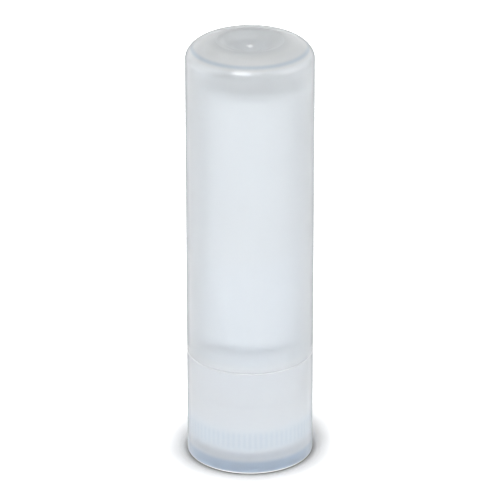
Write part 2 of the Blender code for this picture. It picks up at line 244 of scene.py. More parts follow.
# Solid-coloured finishes: clear colour, hazy colour and the range of roughness
SCREW_FINISH = ((0.86, 0.88, 0.90), (0.90, 0.92, 0.93), (0.40, 0.50))
CARRIER_FINISH = ((0.88, 0.89, 0.91), (0.92, 0.93, 0.94), (0.38, 0.46))
WAX_FINISH = ((0.850, 0.850, 0.848), (0.880, 0.880, 0.874), (0.42, 0.60))

# Tones on the base: each is full at its first height and gone at its second, and a band has two such pairs
# Painted shade on the foot's wall, where the dark recess under the base's floor would show through
FOOT_RECESS_PAINTED_SHADE = (0.65, 0.72, 0.80)
FOOT_RECESS_SHADE_HEIGHTS = (0.0017, 0.0026)
# Painted shade that deepens down towards the floor, round the foot's rim
FOOT_BOTTOM_PAINTED_SHADE = (0.84, 0.87, 0.90)
FOOT_BOTTOM_SHADE_HEIGHTS = (0.0002, 0.0018)
# Painted shade on the band of wall in front of the spindle's knurled skirt
KNURL_PAINTED_SHADE = (0.932, 0.957, 0.975)
KNURL_SHADE_HEIGHTS = ((0.0046, 0.0034), (0.0062, 0.0083))
SLEEVE_TOP_TINT = (0.970, 0.976, 0.985)
SLEEVE_TOP_TINT_HEIGHTS = (0.0170, 0.0110)
# Painted shade lines over the splines inside the base
SPLINE_PAINTED_SHADE = (0.92, 0.935, 0.95)
SPLINE_SHADE_HEIGHTS = ((0.0050, 0.0040), (0.0066, 0.0076))

# Painted shade on the cap's crown, in rings for the dish, its wall and the ceiling's corner: distance from
# the
# axis and colour, outwards
CROWN_PAINTED_SHADE = ((0.0, (0.84, 0.85, 0.86)), (0.0020, (0.82, 0.83, 0.84)), (0.0051, (0.74, 0.75, 0.75)),
               (0.0055, (0.84, 0.85, 0.85)), (0.0072, (1.0, 1.0, 0.99)), (0.0085, (1.0, 1.0, 1.0)),
               (0.0090, (0.70, 0.775, 0.85)), (0.0094, (1.0, 1.0, 1.0)))

# Height on the shoulder from which the crown has its own finish
CROWN_EDGE_HEIGHT = 0.0679

# Painted shade on the balm's sunk top: full at the first height and gone at the second
WAX_TOP_PAINTED_SHADE = (0.70, 0.71, 0.72)
WAX_TOP_SHADE_HEIGHTS = (0.0626, 0.0621)


def arc(centre, radii, start, end, steps=ARC_STEPS):
    """Points (radius, height) on an elliptical arc. Angles are in degrees: 0 is outwards and 90 is up."""
    points = []
    for step in range(steps + 1):
        angle = math.radians(start + (end - start) * step / steps)
        points.append((centre[0] + radii[0] * math.cos(angle), centre[1] + radii[1] * math.sin(angle)))
    return points


def finished(name, shape):
    """The bmesh as an object in the scene, with smooth round faces and crisp edges."""
    bmesh.ops.recalc_face_normals(shape, faces=shape.faces)
    mesh = bpy.data.meshes.new(name)
    shape.to_mesh(mesh)
    shape.free()
    smooth(mesh)
    piece = bpy.data.objects.new(name, mesh)
    bpy.context.collection.objects.link(piece)
    return piece


def smooth(mesh):
    """Smooth shading, with a crisp edge where two faces meet at more than the sharp angle."""
    mesh.shade_smooth()
    mesh.set_sharp_from_angle(angle=SHARP_ANGLE)


def turned(name, outline, hollow=False, segments=ROUND_SEGMENTS):
    """A closed solid turned about Z. Its outline starts and ends on the axis, or is a ring if hollow."""
    shape = bmesh.new()
    points = [shape.verts.new((radius, 0, height)) for radius, height in outline]
    edges = [shape.edges.new(pair) for pair in zip(points, points[1:])]
    if hollow:
        edges.append(shape.edges.new((points[-1], points[0])))
    bmesh.ops.spin(shape, geom=points + edges, cent=(0, 0, 0), axis=(0, 0, 1), angle=math.tau,
                   steps=segments, use_merge=True)
    bmesh.ops.remove_doubles(shape, verts=shape.verts, dist=WELD_DISTANCE)
    return finished(name, shape)


def toothed_prism(name, crest, root, bottom, top):
    """An upright prism with a V-shaped tooth for each spline of the base."""
    shape = bmesh.new()
    bmesh.ops.create_circle(shape, cap_ends=True, segments=2 * SPLINE_TEETH, radius=crest)
    for corner in shape.verts:
        place = round(math.atan2(corner.co.y, corner.co.x) * SPLINE_TEETH / math.pi)
        if place % 2:
            corner.co *= root / crest
    bmesh.ops.translate(shape, verts=shape.verts, vec=(0, 0, bottom))
    raised = bmesh.ops.extrude_face_region(shape, geom=shape.faces[:])["geom"]
    corners = [item for item in raised if isinstance(item, bmesh.types.BMVert)]
    bmesh.ops.translate(shape, verts=corners, vec=(0, 0, top - bottom))
    return finished(name, shape)


def bar(name, width, inner, outer, bottom, top, turn):
    """An upright bar from an inner to an outer radius, turned about Z."""
    shape = bmesh.new()
    bmesh.ops.create_cube(shape, size=1)
    bmesh.ops.scale(shape, verts=shape.verts, vec=(outer - inner, width, top - bottom))
    bmesh.ops.translate(shape, verts=shape.verts, vec=((inner + outer) / 2, 0, (bottom + top) / 2))
    bmesh.ops.rotate(shape, verts=shape.verts, cent=(0, 0, 0), matrix=Matrix.Rotation(turn, 3, "Z"))
    return finished(name, shape)


def screw_ridge(name, inner, outer, root_width, crest_width, start, end):
    """A left-hand ridge of trapezoid section round Z, whose middle climbs from start to end."""
    shape = bmesh.new()
    section = ((inner, -root_width / 2), (outer, -crest_width / 2),
               (outer, crest_width / 2), (inner, root_width / 2))
    corners = [shape.verts.new((radius, 0, start + height)) for radius, height in section]
    face = shape.faces.new(corners)
    steps = round((end - start) / THREAD_LEAD * THREAD_STEPS_PER_TURN)
    climb = THREAD_LEAD / THREAD_STEPS_PER_TURN
    angle = -math.tau * steps / THREAD_STEPS_PER_TURN
    bmesh.ops.spin(shape, geom=[face] + face.edges[:] + corners, cent=(0, 0, 0), axis=(0, 0, 1),
                   dvec=(0, 0, climb), angle=angle, steps=steps)
    return finished(name, shape)


def combine(piece, tool, operation):
    """Joins the tool to the piece or cuts it out, for good, and removes the tool."""
    modifier = piece.modifiers.new(tool.name, "BOOLEAN")
    modifier.operation = operation
    modifier.object = tool
    evaluated = piece.evaluated_get(bpy.context.evaluated_depsgraph_get())
    result = bpy.data.meshes.new_from_object(evaluated)
    piece.modifiers.clear()
    piece.data = result
    result.name = piece.name
    smooth(result)
    bpy.data.objects.remove(tool)


def dish_height(radius):
    """Height of the smooth dish in the cap's top."""
    climb = max(0, (radius - DISH_FLOOR_RADIUS) / (DISH_RADIUS - DISH_FLOOR_RADIUS))
    return TOTAL_HEIGHT - DISH_DEPTH * (1 + math.cos(math.pi * climb)) / 2


def make_cap():
    """Frosted cap with a rounded shoulder, a dished top with its gate mark, and a bead inside its mouth."""
    gate = arc((0, dish_height(GATE_RADIUS)), (GATE_RADIUS, GATE_HEIGHT), 90, 0)
    dish = []
    for step in range(1, DISH_STEPS + 1):
        radius = GATE_RADIUS + (DISH_RADIUS - GATE_RADIUS) * step / DISH_STEPS
        dish.append((radius, dish_height(radius)))
    shoulder = arc((BODY_RADIUS - SHOULDER_WIDTH, TOTAL_HEIGHT - SHOULDER_HEIGHT),
                   (SHOULDER_WIDTH, SHOULDER_HEIGHT), 90, 0, SHOULDER_STEPS)
    mouth = arc((BODY_RADIUS - CAP_MOUTH_ROUND, CAP_MOUTH + CAP_MOUTH_ROUND),
                (CAP_MOUTH_ROUND, CAP_MOUTH_ROUND), 0, -90)
    # Splits in the wall where the mouth's two bands of painted light end
    bands = [(BODY_RADIUS, CAP_MOUTH + CAP_MOUTH_SOFT_LIGHT_BAND), (BODY_RADIUS, CAP_MOUTH + CAP_MOUTH_LIGHT_BAND)]
    inside = [(CAP_BORE + CAP_MOUTH_LEAD_IN, CAP_MOUTH), (CAP_BORE, CAP_MOUTH + CAP_MOUTH_LEAD_IN)]
    bead = arc((CAP_BORE, CAP_BEAD_HEIGHT), (-CAP_BEAD_DEPTH, CAP_BEAD_HALF_WIDTH), -90, 90)
    fillet = arc((CAP_BORE - CAP_CEILING_FILLET, CAP_CEILING - CAP_CEILING_FILLET),
                 (CAP_CEILING_FILLET, CAP_CEILING_FILLET), 0, 90)
    outside = gate + dish + shoulder + bands + mouth
    return turned("cap_shell", outside + inside + bead + fillet + [(0, CAP_CEILING)])


def snap_profile(radius, half_width):
    """The snap ring, or its groove, from the top down."""
    return [(radius, SNAP_HEIGHT + half_width),
            (radius + SNAP_DEPTH, SNAP_HEIGHT + half_width / 2),
            (radius + SNAP_DEPTH, SNAP_HEIGHT - half_width / 2),
            (radius, SNAP_HEIGHT - half_width)]


def make_base():
    """Twist sleeve with a recessed foot, a groove for the barrel's snap ring, and splines for the spindle."""
    outline = [(0, FOOT_RECESS)]
    outline += arc((FOOT_RECESS_RADIUS - FOOT_CORNER_FILLET, FOOT_RECESS - FOOT_CORNER_FILLET),
                   (FOOT_CORNER_FILLET, FOOT_CORNER_FILLET), 90, 0)
    outline += arc((FOOT_RECESS_RADIUS + FOOT_INNER_ROUND, FOOT_INNER_ROUND),
                   (FOOT_INNER_ROUND, FOOT_INNER_ROUND), 180, 270)
    outline += arc((BODY_RADIUS - FOOT_ROUND, FOOT_ROUND), (FOOT_ROUND, FOOT_ROUND), -90, 0)
    outline += arc((BODY_RADIUS - BASE_TOP_ROUND, SEAM_HEIGHT - BASE_TOP_ROUND),
                   (BASE_TOP_ROUND, BASE_TOP_ROUND), 0, 90)
    outline += [(BASE_BORE + BASE_TOP_LEAD_IN, SEAM_HEIGHT), (BASE_BORE, SEAM_HEIGHT - BASE_TOP_LEAD_IN)]
    outline += snap_profile(BASE_BORE, GROOVE_HALF_WIDTH)
    outline += [(BASE_BORE, SPLINE_TOP), (0, SPLINE_TOP)]
    base = turned("base_sleeve", outline)
    splines = toothed_prism("splines", SPLINE_ROOT, SPLINE_CREST, BASE_FLOOR_TOP, SPLINE_TOP + CUT_OVERRUN)
    combine(base, splines, "DIFFERENCE")
    return base


def make_barrel():
    """Inner tube: a skirt that turns in the base, a floor for the spindle, and a bore with two guide ribs."""
    collar = arc((BARREL_RADIUS, COLLAR_TOP - COLLAR_ROUND),
                 (BARREL_SKIRT_RADIUS - BARREL_RADIUS, COLLAR_ROUND), 0, 90)
    rim_outside = arc((BARREL_RADIUS - BARREL_RIM_ROUND, BARREL_RIM - BARREL_RIM_ROUND),
                      (BARREL_RIM_ROUND, BARREL_RIM_ROUND), 0, 90)
    rim_inside = arc((BARREL_BORE + BARREL_RIM_ROUND, BARREL_RIM - BARREL_RIM_ROUND),
                     (BARREL_RIM_ROUND, BARREL_RIM_ROUND), 90, 180)
    # The points at the collar's foot split the wall where the collar's finish ends
    outline = [(BARREL_FLOOR_HOLE, BARREL_FLOOR_UNDERSIDE), (BARREL_SKIRT_BORE, BARREL_FLOOR_UNDERSIDE),
               (BARREL_SKIRT_BORE, COLLAR_FOOT), (BARREL_SKIRT_BORE, BARREL_FOOT),
               (BARREL_SKIRT_RADIUS - BARREL_FOOT_LEAD_IN, BARREL_FOOT),
               (BARREL_SKIRT_RADIUS, BARREL_FOOT + BARREL_FOOT_LEAD_IN)]
    outline += reversed(snap_profile(BARREL_SKIRT_RADIUS, SNAP_HALF_WIDTH))
    outline += [(BARREL_SKIRT_RADIUS, COLLAR_FOOT)]
    outline += collar + rim_outside + rim_inside
    outline += [(BARREL_BORE, BARREL_FLOOR_TOP), (BARREL_FLOOR_HOLE, BARREL_FLOOR_TOP)]
    barrel = turned("barrel_tube", outline, hollow=True)
    for turn in (0, math.pi):
        rib = bar("rib", RIB_WIDTH, RIB_RADIUS, (BARREL_BORE + BARREL_RADIUS) / 2,
                  (BARREL_FLOOR_UNDERSIDE + BARREL_FLOOR_TOP) / 2, BARREL_RIM - RIB_BELOW_RIM, turn)
        combine(barrel, rib, "UNION")
    return barrel


def make_spindle():
    """Screw with a knurled, hollow foot that the base grips and a thrust ring under the barrel's floor."""
    plate_middle = (SPINDLE_PLATE_UNDERSIDE + SPINDLE_PLATE_TOP) / 2
    spindle = toothed_prism("screw_spindle", KNURL_CREST, KNURL_ROOT, SPINDLE_FOOT, SPINDLE_PLATE_TOP)
    pocket = turned("pocket", [(0, SPINDLE_FOOT - CUT_OVERRUN), (SKIRT_BORE, SPINDLE_FOOT - CUT_OVERRUN),
                               (SKIRT_BORE, SPINDLE_PLATE_UNDERSIDE), (0, SPINDLE_PLATE_UNDERSIDE)])
    shaft = turned("shaft", [
        (0, plate_middle), (SHAFT_RADIUS, plate_middle), (SHAFT_RADIUS, THRUST_RING_UNDERSIDE),
        (THRUST_RING_RADIUS, THRUST_RING_UNDERSIDE), (THRUST_RING_RADIUS, THRUST_RING_TOP),
        (SHAFT_RADIUS, THRUST_RING_TOP), (SHAFT_RADIUS, BARREL_FLOOR_TOP), (CORE_RADIUS, BARREL_FLOOR_TOP),
        (CORE_RADIUS, SPINDLE_TIP - CORE_TIP_CHAMFER), (CORE_RADIUS - CORE_TIP_CHAMFER, SPINDLE_TIP),
        (0, SPINDLE_TIP)], segments=SHAFT_SEGMENTS)
    ridge = screw_ridge("ridge", CORE_RADIUS - THREAD_SINK, THREAD_RADIUS, THREAD_ROOT_WIDTH,
                        THREAD_CREST_WIDTH, THREAD_START, THREAD_END)
    combine(spindle, pocket, "DIFFERENCE")
    combine(spindle, shaft, "UNION")
    combine(spindle, ridge, "UNION")
    return spindle


def make_carrier():
    """Cup that holds the balm, with a threaded hub round the spindle and a slot for each guide rib."""
    carrier = turned("carrier_cup", [
        (HUB_BORE, CARRIER_FOOT + HUB_MOUTH_CHAMFER), (HUB_BORE + HUB_MOUTH_CHAMFER, CARRIER_FOOT),
        (CARRIER_RADIUS - CARRIER_EDGE, CARRIER_FOOT), (CARRIER_RADIUS, CARRIER_FOOT + CARRIER_EDGE),
        (CARRIER_RADIUS, CARRIER_RIM - CARRIER_EDGE), (CARRIER_RADIUS - CARRIER_EDGE, CARRIER_RIM),
        (CARRIER_BORE, CARRIER_RIM), (CARRIER_BORE, CARRIER_FLOOR_TOP),
        (HUB_RADIUS, CARRIER_FLOOR_TOP), (HUB_RADIUS, HUB_TOP), (HUB_BORE, HUB_TOP)], hollow=True)
    groove = screw_ridge("groove", HUB_BORE - THREAD_SINK, THREAD_RADIUS + THREAD_CLEARANCE,
                         THREAD_ROOT_WIDTH + 2 * THREAD_CLEARANCE, THREAD_CREST_WIDTH + 2 * THREAD_CLEARANCE,
                         THREAD_START - THREAD_LEAD, THREAD_START + HUB_TOP - CARRIER_FOOT + THREAD_LEAD)
    combine(carrier, groove, "DIFFERENCE")
    for turn in (0, math.pi):
        slot = bar("slot", SLOT_WIDTH, SLOT_FLOOR_RADIUS, BARREL_RADIUS, CARRIER_FOOT - CUT_OVERRUN,
                   CARRIER_RIM + CUT_OVERRUN, turn)
        combine(carrier, slot, "DIFFERENCE")
    return carrier


def make_balm():
    """Wax cylinder seated in the cup: a softly sunk top, a bore for the screw and a slot for each rib."""
    outline = []
    flat = BALM_RADIUS - BALM_EDGE_ROUND
    for step in range(DISH_STEPS):
        radius = flat * step / DISH_STEPS
        outline.append((radius, BALM_TOP - BALM_SINK_DEPTH * (1 + math.cos(math.pi * radius / flat)) / 2))
    outline += arc((flat, BALM_TOP - BALM_EDGE_ROUND), (BALM_EDGE_ROUND, BALM_EDGE_ROUND), 90, 0)
    outline += [(BALM_RADIUS, BALM_PLUG_TOP), (BALM_PLUG_RADIUS, BALM_PLUG_TOP),
                (BALM_PLUG_RADIUS, BALM_FOOT), (BALM_HUB_RADIUS, BALM_FOOT),
                (BALM_HUB_RADIUS, BALM_HUB_TOP), (BALM_BORE, BALM_HUB_TOP),
                (BALM_BORE, BALM_BORE_TOP), (0, BALM_BORE_TOP)]
    balm = turned("balm_stick", outline)
    for turn in (0, math.pi):
        slot = bar("slot", SLOT_WIDTH, SLOT_FLOOR_RADIUS, BARREL_RADIUS, BALM_FOOT - CUT_OVERRUN,
                   BALM_TOP + CUT_OVERRUN, turn)
        combine(balm, slot, "DIFFERENCE")
    return balm


def feed(links, value, socket):
    """Links a socket's value into another socket, or writes a number or a colour there."""
    if isinstance(value, bpy.types.NodeSocket):
        links.new(value, socket)
    elif isinstance(value, tuple):
        socket.default_value = (*value, 1)
    else:
        socket.default_value = value


def calculate(tree, operation, *values):
    """The result of a Math node in the tree. Each value is a number or a socket."""
    node = tree.nodes.new("ShaderNodeMath")
    node.operation = operation
    for value, socket in zip(values, node.inputs):
        feed(tree.links, value, socket)
    return node.outputs["Value"]


def moulded_grain():
    """Fine grain and slow clouds: Height for a bump, Fine for the roughness and Cloud for the colour."""
    group = bpy.data.node_groups.new("moulded_grain", "ShaderNodeTree")
    group.interface.new_socket("Grain Scale", in_out="INPUT", socket_type="NodeSocketFloat")
    group.interface.new_socket("Cloud Scale", in_out="INPUT", socket_type="NodeSocketFloat")
    group.interface.new_socket("Height", in_out="OUTPUT", socket_type="NodeSocketFloat")
    group.interface.new_socket("Cloud", in_out="OUTPUT", socket_type="NodeSocketFloat")
    group.interface.new_socket("Fine", in_out="OUTPUT", socket_type="NodeSocketFloat")
    nodes, links = group.nodes, group.links
    inside = nodes.new("NodeGroupInput")
    outside = nodes.new("NodeGroupOutput")
    place = nodes.new("ShaderNodeTexCoord")
    grain = nodes.new("ShaderNodeTexNoise")
    cloud = nodes.new("ShaderNodeTexNoise")
    grain.inputs["Detail"].default_value = GRAIN_DETAIL
    cloud.inputs["Detail"].default_value = CLOUD_DETAIL
    draw = nodes.new("ShaderNodeMapping")
    draw.inputs["Scale"].default_value = CLOUD_DRAW
    links.new(place.outputs["Object"], grain.inputs["Vector"])
    links.new(place.outputs["Object"], draw.inputs["Vector"])
    links.new(draw.outputs["Vector"], cloud.inputs["Vector"])
    links.new(inside.outputs["Grain Scale"], grain.inputs["Scale"])
    links.new(inside.outputs["Cloud Scale"], cloud.inputs["Scale"])
    links.new(grain.outputs["Fac"], outside.inputs["Height"])
    links.new(grain.outputs["Fac"], outside.inputs["Fine"])
    links.new(cloud.outputs["Fac"], outside.inputs["Cloud"])
    return group


def height_share():
    """How much of a tone a height gets: 1 at the full height and beyond it, and 0 at the bare height."""
    group = bpy.data.node_groups.new("height_share", "ShaderNodeTree")
    group.interface.new_socket("Full Height", in_out="INPUT", socket_type="NodeSocketFloat")
    group.interface.new_socket("Bare Height", in_out="INPUT", socket_type="NodeSocketFloat")
    group.interface.new_socket("Share", in_out="OUTPUT", socket_type="NodeSocketFloat")
    nodes, links = group.nodes, group.links
    inside = nodes.new("NodeGroupInput")
    outside = nodes.new("NodeGroupOutput")
    place = nodes.new("ShaderNodeTexCoord")
    split = nodes.new("ShaderNodeSeparateXYZ")
    share = nodes.new("ShaderNodeMapRange")
    share.interpolation_type = "SMOOTHSTEP"
    share.inputs["To Min"].default_value = 1.0
    share.inputs["To Max"].default_value = 0.0
    links.new(place.outputs["Object"], split.inputs["Vector"])
    links.new(split.outputs["Z"], share.inputs["Value"])
    links.new(inside.outputs["Full Height"], share.inputs["From Min"])
    links.new(inside.outputs["Bare Height"], share.inputs["From Max"])
    links.new(share.outputs["Result"], outside.inputs["Share"])
    return group


def plastic(name, clear, hazy, rough, grain_scale, cloud_scale, grain_depth, transmission=0.0, coat=0.0):
    """A moulded plastic whose colour drifts between two tones, with a grained surface."""
    material = bpy.data.materials.new(name)
    material.use_nodes = True
    nodes, links = material.node_tree.nodes, material.node_tree.links
    shader = nodes["Principled BSDF"]
    shader.inputs["Metallic"].default_value = 0.0
    shader.inputs["IOR"].default_value = PLASTIC_IOR
    shader.inputs["Transmission Weight"].default_value = transmission
    shader.inputs["Coat Weight"].default_value = coat
    shader.inputs["Coat Roughness"].default_value = COAT_ROUGHNESS
    texture = nodes.new("ShaderNodeGroup")
    texture.node_tree = GRAIN
    texture.inputs["Grain Scale"].default_value = grain_scale
    texture.inputs["Cloud Scale"].default_value = cloud_scale
    colour = nodes.new("ShaderNodeMix")
    colour.data_type = "RGBA"
    colour.inputs["A"].default_value = (*clear, 1)
    colour.inputs["B"].default_value = (*hazy, 1)
    links.new(texture.outputs["Cloud"], colour.inputs["Factor"])
    links.new(colour.outputs["Result"], shader.inputs["Base Color"])
    roughness = nodes.new("ShaderNodeMapRange")
    roughness.inputs["To Min"].default_value = rough[0]
    roughness.inputs["To Max"].default_value = rough[1]
    links.new(texture.outputs["Fine"], roughness.inputs["Value"])
    links.new(roughness.outputs["Result"], shader.inputs["Roughness"])
    bump = nodes.new("ShaderNodeBump")
    bump.inputs["Strength"].default_value = 1.0
    bump.inputs["Distance"].default_value = grain_depth
    links.new(texture.outputs["Height"], bump.inputs["Height"])
    links.new(bump.outputs["Normal"], shader.inputs["Normal"])
    return material


def frosted(name, clear, hazy, transmission, coat=COAT, rough=FROST):
    """A frosted, see-through plastic."""
    return plastic(name, clear, hazy, rough, GRAIN_SCALE, CLOUD_SCALE, GRAIN_DEPTH, transmission, coat)


def tone_colour(material, tone, share=None):
    """Multiplies the material's colour by a tone, which is a colour or a socket, in full or by a share."""
    nodes, links = material.node_tree.nodes, material.node_tree.links
    shade = nodes.new("ShaderNodeMix")
    shade.data_type = "RGBA"
    shade.blend_type = "MULTIPLY"
    shade.inputs["Factor"].default_value = 1.0
    target = nodes["Principled BSDF"].inputs["Base Color"]
    links.new(target.links[0].from_socket, shade.inputs["A"])
    feed(links, tone, shade.inputs["B"])
    if share:
        links.new(share, shade.inputs["Factor"])
    links.new(shade.outputs["Result"], target)


def share_by_height(material, full, bare):
    """The share of a tone that fades from its full height to its bare one."""
    texture = material.node_tree.nodes.new("ShaderNodeGroup")
    texture.node_tree = HEIGHT_SHARE
    texture.inputs["Full Height"].default_value = full
    texture.inputs["Bare Height"].default_value = bare
    return texture.outputs["Share"]


def share_between(material, low, high, share=None):
    """The share of a tone that fades at both ends of a band. Each end is a full height and a bare one."""
    for heights in (low, high):
        part = share_by_height(material, *heights)
        share = calculate(material.node_tree, "MULTIPLY", share, part) if share else part
    return share


def deepen(material, tone, heights):
    """A tone on the material's colour that fades from its full height to its bare one."""
    tone_colour(material, tone, share_by_height(material, *heights))


def paint_edge_shade_in_view(material, tone):
    """Painted shade on a frosted wall where it is seen edge-on, in view only."""
    nodes, links = material.node_tree.nodes, material.node_tree.links
    angle = nodes.new("ShaderNodeLayerWeight")
    path = nodes.new("ShaderNodeLightPath")
    edge = nodes.new("ShaderNodeMapRange")
    edge.interpolation_type = "SMOOTHSTEP"
    edge.inputs["From Min"].default_value = EDGE_FACING[0]
    edge.inputs["From Max"].default_value = EDGE_FACING[1]
    links.new(angle.outputs["Facing"], edge.inputs["Value"])
    seen = calculate(material.node_tree, "MULTIPLY", edge.outputs["Result"], path.outputs["Is Camera Ray"])
    tone_colour(material, tone, seen)


def paint_spline_shade_lines(material):
    """Painted shade lines on the base's wall, one over each spline inside, in place of the splines seen
    through it.
    """
    tree = material.node_tree
    place = tree.nodes.new("ShaderNodeTexCoord")
    split = tree.nodes.new("ShaderNodeSeparateXYZ")
    tree.links.new(place.outputs["Object"], split.inputs["Vector"])
    turn = calculate(tree, "ARCTAN2", split.outputs["Y"], split.outputs["X"])
    wave = calculate(tree, "COSINE", calculate(tree, "MULTIPLY", turn, SPLINE_TEETH))
    line = tree.nodes.new("ShaderNodeMapRange")
    line.inputs["From Min"].default_value = -1.0
    tree.links.new(wave, line.inputs["Value"])
    tone_colour(material, SPLINE_PAINTED_SHADE, share_between(material, *SPLINE_SHADE_HEIGHTS, line.outputs["Result"]))


def painted_crown_shade_rings():
    """Painted shade in soft rings round the cap's dish and shoulder."""
    group = bpy.data.node_groups.new("painted_crown_shade_rings", "ShaderNodeTree")
    group.interface.new_socket("Tone", in_out="OUTPUT", socket_type="NodeSocketColor")
    nodes, links = group.nodes, group.links
    outside = nodes.new("NodeGroupOutput")
    place = nodes.new("ShaderNodeTexCoord")
    flat = nodes.new("ShaderNodeVectorMath")
    flat.operation = "MULTIPLY"
    flat.inputs[1].default_value = (1, 1, 0)
    distance = nodes.new("ShaderNodeVectorMath")
    distance.operation = "LENGTH"
    share = nodes.new("ShaderNodeMapRange")
    share.inputs["From Max"].default_value = BODY_RADIUS
    ramp = nodes.new("ShaderNodeValToRGB")
    ramp.color_ramp.interpolation = "EASE"
    while len(ramp.color_ramp.elements) < len(CROWN_PAINTED_SHADE):
        ramp.color_ramp.elements.new(1)
    for element, (radius, tone) in zip(ramp.color_ramp.elements, CROWN_PAINTED_SHADE):
        element.position = radius / BODY_RADIUS
        element.color = (*tone, 1)
    links.new(place.outputs["Object"], flat.inputs[0])
    links.new(flat.outputs["Vector"], distance.inputs[0])
    links.new(distance.outputs["Value"], share.inputs["Value"])
    links.new(share.outputs["Result"], ramp.inputs["Fac"])
    links.new(ramp.outputs["Color"], outside.inputs["Tone"])
    return group


def shade_crown_rings(material):
    """Puts the crown's rings of painted shade on the material's colour."""
    texture = material.node_tree.nodes.new("ShaderNodeGroup")
    texture.node_tree = CROWN_SHADE_RINGS
    tone_colour(material, texture.outputs["Tone"])


def level_by_ray(nodes, links, lighting, reflected, seen):
    """One level for rays that light surfaces, one for rays that gloss and frost send on, and one in view."""
    path = nodes.new("ShaderNodeLightPath")
    level = lighting
    rays = (("Is Glossy Ray", reflected), ("Is Transmission Ray", reflected), ("Is Camera Ray", seen))
    for name, target in rays:
        choice = nodes.new("ShaderNodeMix")
        links.new(path.outputs[name], choice.inputs["Factor"])
        feed(links, level, choice.inputs["A"])
        feed(links, target, choice.inputs["B"])
        level = choice.outputs["Result"]
    return level


def make_world():
    """White room: plain white in view, and as light full at the horizon and dimmer towards the ceiling."""
    world = bpy.data.worlds.new("white_room")
    world.use_nodes = True
    nodes, links = world.node_tree.nodes, world.node_tree.links
    background = nodes["Background"]
    background.inputs["Color"].default_value = (1, 1, 1, 1)
    direction = nodes.new("ShaderNodeTexCoord")
    split = nodes.new("ShaderNodeSeparateXYZ")
    room = nodes.new("ShaderNodeMapRange")
    room.interpolation_type = "SMOOTHSTEP"
    room.inputs["From Min"].default_value = 0.0
    room.inputs["From Max"].default_value = CEILING_START
    room.inputs["To Min"].default_value = HORIZON_LEVEL
    room.inputs["To Max"].default_value = CEILING_LEVEL
    links.new(direction.outputs["Generated"], split.inputs["Vector"])
    links.new(split.outputs["Z"], room.inputs["Value"])
    level = room.outputs["Result"]
    links.new(level_by_ray(nodes, links, level, level, BACKDROP_SEEN), background.inputs["Strength"])
    bpy.context.scene.world = world


def make_floor():
    """White floor just under the foot, with a contact shadow that is deeper in view."""
    shape = bmesh.new()
    bmesh.ops.create_circle(shape, cap_ends=True, segments=FLOOR_SEGMENTS, radius=FLOOR_RADIUS)
    bmesh.ops.translate(shape, verts=shape.verts, vec=(0, 0, -FLOOR_DROP))
    floor = finished("floor", shape)
    material = bpy.data.materials.new("white_floor")
    material.use_nodes = True
    nodes, links = material.node_tree.nodes, material.node_tree.links
    nodes.remove(nodes["Principled BSDF"])
    paint = nodes.new("ShaderNodeBsdfDiffuse")
    seen = FLOOR_TONE_SEEN
    for reach, depth in CONTACT_SHADOWS:
        contact = nodes.new("ShaderNodeAmbientOcclusion")
        contact.inputs["Distance"].default_value = reach
        contact.samples = CONTACT_SHADOW_SAMPLES
        shade = calculate(material.node_tree, "POWER", contact.outputs["AO"], depth)
        seen = calculate(material.node_tree, "MULTIPLY", shade, seen)
    tone = level_by_ray(nodes, links, FLOOR_TONE, FLOOR_TONE_REFLECTED, seen)
    links.new(tone, paint.inputs["Color"])
    links.new(paint.outputs["BSDF"], nodes["Material Output"].inputs["Surface"])
    floor.data.materials.append(material)


def make_light(name, azimuth, elevation, width, height, power):
    """A soft box that faces the middle of the stick."""
    lamp = bpy.data.lights.new(name, "AREA")
    lamp.shape = "RECTANGLE"
    lamp.size = width
    lamp.size_y = height
    lamp.energy = power
    light = bpy.data.objects.new(name, lamp)
    bpy.context.collection.objects.link(light)
    azimuth, elevation = math.radians(azimuth), math.radians(elevation)
    light.location = (LAMP_DISTANCE * math.sin(azimuth) * math.cos(elevation),
                      -LAMP_DISTANCE * math.cos(azimuth) * math.cos(elevation),
                      CAMERA_TARGET_HEIGHT + LAMP_DISTANCE * math.sin(elevation))
    light.rotation_euler = (math.pi / 2 - elevation, 0, azimuth)
    light.visible_camera = False


def make_camera():
    """A long lens in front of the stick that looks down on it."""
    camera = bpy.data.objects.new("camera", bpy.data.cameras.new("camera"))
    bpy.context.collection.objects.link(camera)
    camera.data.lens = CAMERA_LENS
    camera.location = (0, -CAMERA_DISTANCE * math.cos(CAMERA_ELEVATION),
                       CAMERA_TARGET_HEIGHT + CAMERA_DISTANCE * math.sin(CAMERA_ELEVATION))
    camera.rotation_euler = (math.pi / 2 - CAMERA_ELEVATION, 0, 0)
    bpy.context.scene.camera = camera


def dress(piece, material, node, body):
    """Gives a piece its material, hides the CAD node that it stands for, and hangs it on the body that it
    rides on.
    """
    piece.data.materials.clear()
    piece.data.materials.append(material)
    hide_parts(node)
    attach(piece, body)


def finish_faces(piece, material, chosen):
    """Gives the faces that are chosen by their radius and height a finish of their own."""
    if material.name not in piece.data.materials:
        piece.data.materials.append(material)
    finish = piece.data.materials.find(material.name)
    for face in piece.data.polygons:
        if chosen(math.hypot(face.center.x, face.center.y), face.center.z):
            face.material_index = finish


# Zones with a finish of their own, by the radius and height of a face's middle
def on_crown(radius, height):
    return height > CROWN_EDGE_HEIGHT


def on_dish(radius, height):
    return radius < DISH_RADIUS and height > TOTAL_HEIGHT - DISH_DEPTH - WELD_DISTANCE


def on_ceiling(radius, height):
    return radius < CAP_BORE and CAP_CEILING - CAP_CEILING_FILLET < height < CAP_CEILING + WELD_DISTANCE


def on_gate(radius, height):
    return radius < GATE_RADIUS and height > TOTAL_HEIGHT - DISH_DEPTH


def on_mouth_edge(radius, height):
    return radius > CAP_BORE and height < CAP_MOUTH + CAP_MOUTH_ROUND


